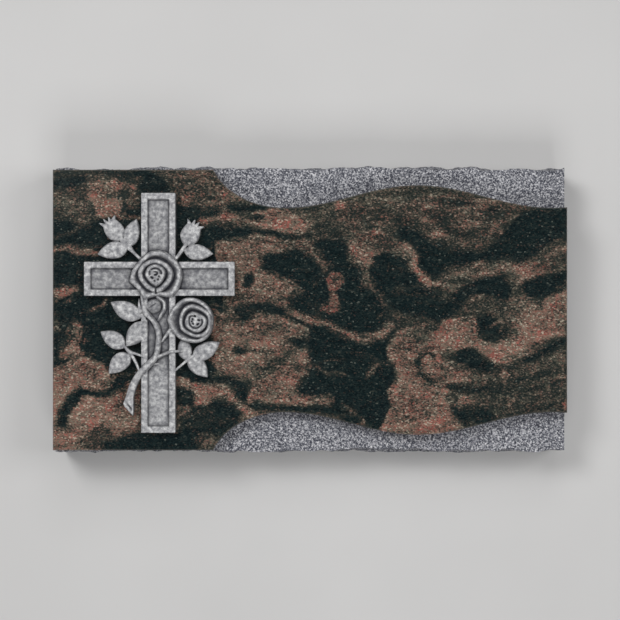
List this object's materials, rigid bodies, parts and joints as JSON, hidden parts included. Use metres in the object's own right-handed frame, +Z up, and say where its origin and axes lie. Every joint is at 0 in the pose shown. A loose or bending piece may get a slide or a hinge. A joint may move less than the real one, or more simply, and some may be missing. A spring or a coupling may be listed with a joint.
{
  "type": "flat grave marker",
  "caption": "Flat grave marker: a polished banded granite plate with two waved edges on a split grey granite base, with a cast cross and roses on it.",
  "frame": {"origin": "on the ground under the middle of the base", "axes": "+X runs along the marker to the waved right end, +Y points to the top of the cross, +Z is up"},
  "size_m": [0.55, 0.316, 0.1041],
  "materials": {
    "grey_granite": "matte",
    "polished_red_granite": "polished",
    "cast_grey": "matte"
  },
  "bodies": {
    "root": {"grey_granite_base": "grey_granite", "polished_granite_plate": "polished_red_granite", "rose_cross_ornament": "cast_grey"}
  },
  "joints": []
}
